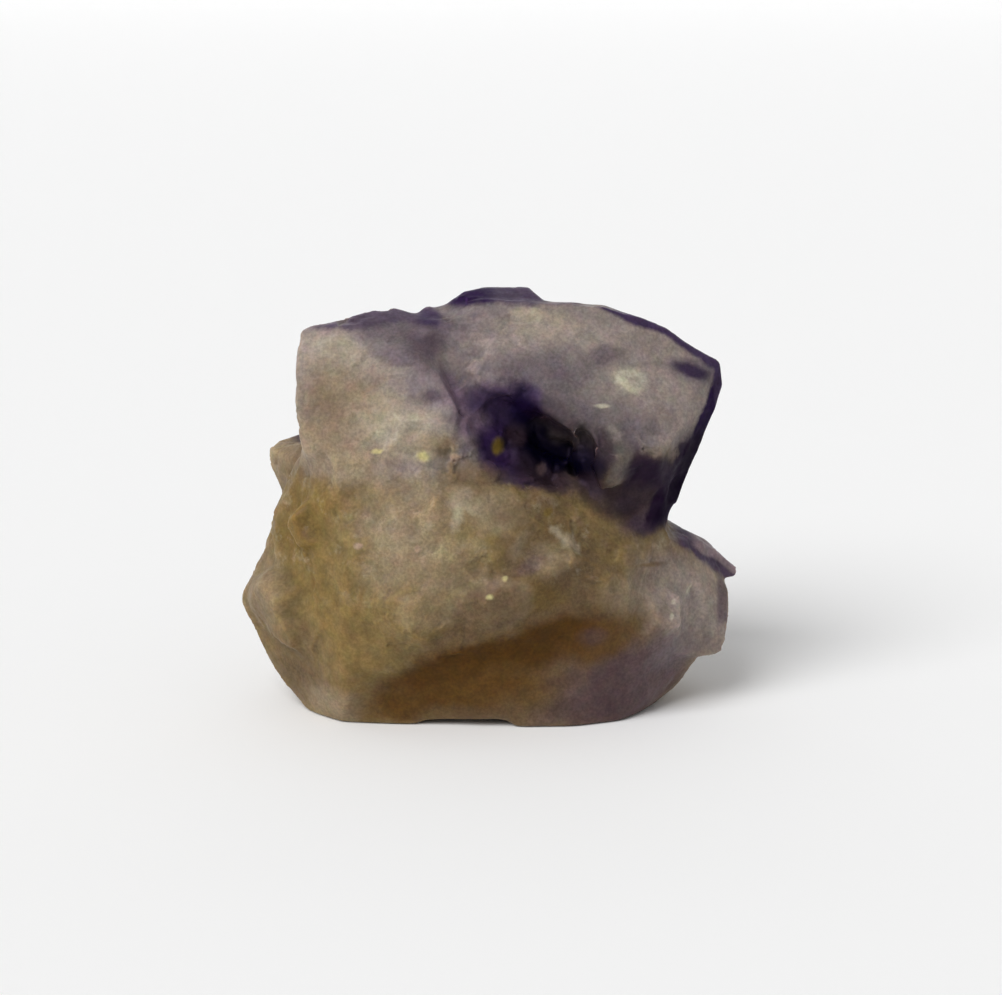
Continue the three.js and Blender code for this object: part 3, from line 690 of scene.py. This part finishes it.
level = height + across * 0.12 - deep * 0.1
behind = deep.rise(1, 7) * across.rise(-34, -29)
patchy = cloud(11.0, 3.0, 0.55, 15.0).rise(0.34, 0.56)
side = (0.915, -0.155, -0.373)
side_point = (33.8, -2, 44.7)
inwards = depth_under(side, side_point, ripple)
side_skin = skin(side, side_point, 1.5, 0.3, quiver) * up.rise(29, 32)
low_skin = skin(side, side_point, 2.6, 0.5, ripple) * up.rise(47, 42.5) * up.rise(29, 32)
crest_skin = skin((0, 0, 1), (0, 0, 66.8), 2.1, 0.6, quiver)
crest_slope = skin((-0.6, 0, 0.8), (-4, 2, 66), 1.5, 0.4, quiver) * across.rise(-10, -7)
ledge_point = (36, 2, 24.6)
ledge_side = across.rise(27, 31) * up.rise(34, 32)
outer_ledge = across.rise(31.5, 33.5) * up.rise(34, 32)
for paint, share in (
    (deep_purple, band(level, 37.0, 1.8, 0.5, 4.0) * behind * patchy.rise(0, 1, 0.35, 1.0)),
    (purple, band(level, 29.5, 0.4, 0.4, 2.2) * behind * patchy * 0.7),
    (purple, band(level, 44.5, 0.5, 0.4, 1.4) * behind * patchy * 0.6),
    (purple, band(inwards, 5.0, 0.6, 1.5, 0.5) * behind * up.rise(30, 34) * 0.7),
    (purple, skin((0.397, 0, 0.918), (21.5, -2.5, 63.4), 1.0, 0.4, quiver) * across.rise(16, 18)),
    (purple, skin((0.6, 0, 0.8), (31.5, -0.5, 58.1), 0.85, 0.4, quiver) * across.rise(24, 27)),
    (deep_purple, side_skin),
    (deep_plum, low_skin),
    (purple, skin((1, 0, 0.05), (36.5, 0, 53), 1.1, 0.3, quiver) * up.rise(42, 46)),
    (ink, skin(side, side_point, 1.4, 0.8, quiver) * up.rise(50, 40, 0.2, 0.6) * up.rise(29, 32)),
    (purple, crest_slope * up.rise(63.2, 65)),
    (purple, crest_skin * 0.9),
    (deep_purple, crest_skin * across.rise(2, -1)),
    (purple, skin((0, -0.2, 1), (-20, -1, 63.6), 1.1, 0.4, quiver) * across.rise(-7, -10) * 0.7),
    (purple, skin((0.68, 0, 0.73), ledge_point, 2.5, 0.4, quiver) * ledge_side * 0.9),
    (rosy_grey, skin((0.61, 0, 0.79), ledge_point, 1.45, 0.3, quiver) * outer_ledge * 0.85),
    (purple, band(across, 37.3, 0.6, 0.5, 0.7) * deep.rise(2, 0) * band(up, 17, 2.5, 2, 2) * 0.55),
):
    base = paint.over(base, share)


# The grain: each facet has its own tone, with clouds. Ridges are paler, as wear, and recesses are
# darker, as painted shade.
def attribute(name):
    """A value that the mesh carries at its points."""
    return shade.node("ShaderNodeAttribute", {"attribute_name": name}, {}, 2)


tone = cloud(2.2, 4.0, 0.65, 5.0).rise(0.3, 0.7, 0.86, 1.14)
tone = tone * cloud(0.5, 2.0, 0.6, 6.0).rise(0.3, 0.7, 0.85, 1.15)
tone = tone * attribute("proud").rise(-0.3, 0.3, 0.84, 1.13)
tone = tone * attribute("large_facet").rise(0, 1, 0.95, 1.05)
tone = tone * attribute("small_facet").rise(0, 1, 0.96, 1.04)
# Each grain's colour strays by up to an eighth either way.
hues = shade.node("ShaderNodeTexNoise", {}, {"Vector": place, "Scale": 1 / 1.8, "Detail": 3.0}, 1)
base = base.vector("MULTIPLY", hues.scaled(0.24).vector("ADD", (0.88, 0.88, 0.88)))
base = base.scaled(tone)

# The small facets shine more or less, and the dark side skin is duller than the rest.
roughness = cloud(1.4, 3.0, 0.6, 9.0).rise(0.3, 0.7, 0.4, 0.62)
roughness = roughness - attribute("small_facet").rise(0.8, 1, 0, 0.12)
roughness = roughness + side_skin * 0.3

# Fluorite bends light little and shines softly, and light goes a short way into it.
surface.inputs["IOR"].default_value = 1.434
surface.inputs["Specular IOR Level"].default_value = 0.15
surface.inputs["Specular Tint"].default_value = (0.75, 0.55, 1.0, 1)
surface.inputs["Subsurface Weight"].default_value = 0.8
surface.inputs["Subsurface Radius"].default_value = (1.0, 0.8, 0.6)
surface.inputs["Subsurface Scale"].default_value = 0.0025
tree.links.new(base.socket, surface.inputs["Base Color"])
tree.links.new(roughness.socket, surface.inputs["Roughness"])
fine.materials.clear()
fine.materials.append(fluorite)

low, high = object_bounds()
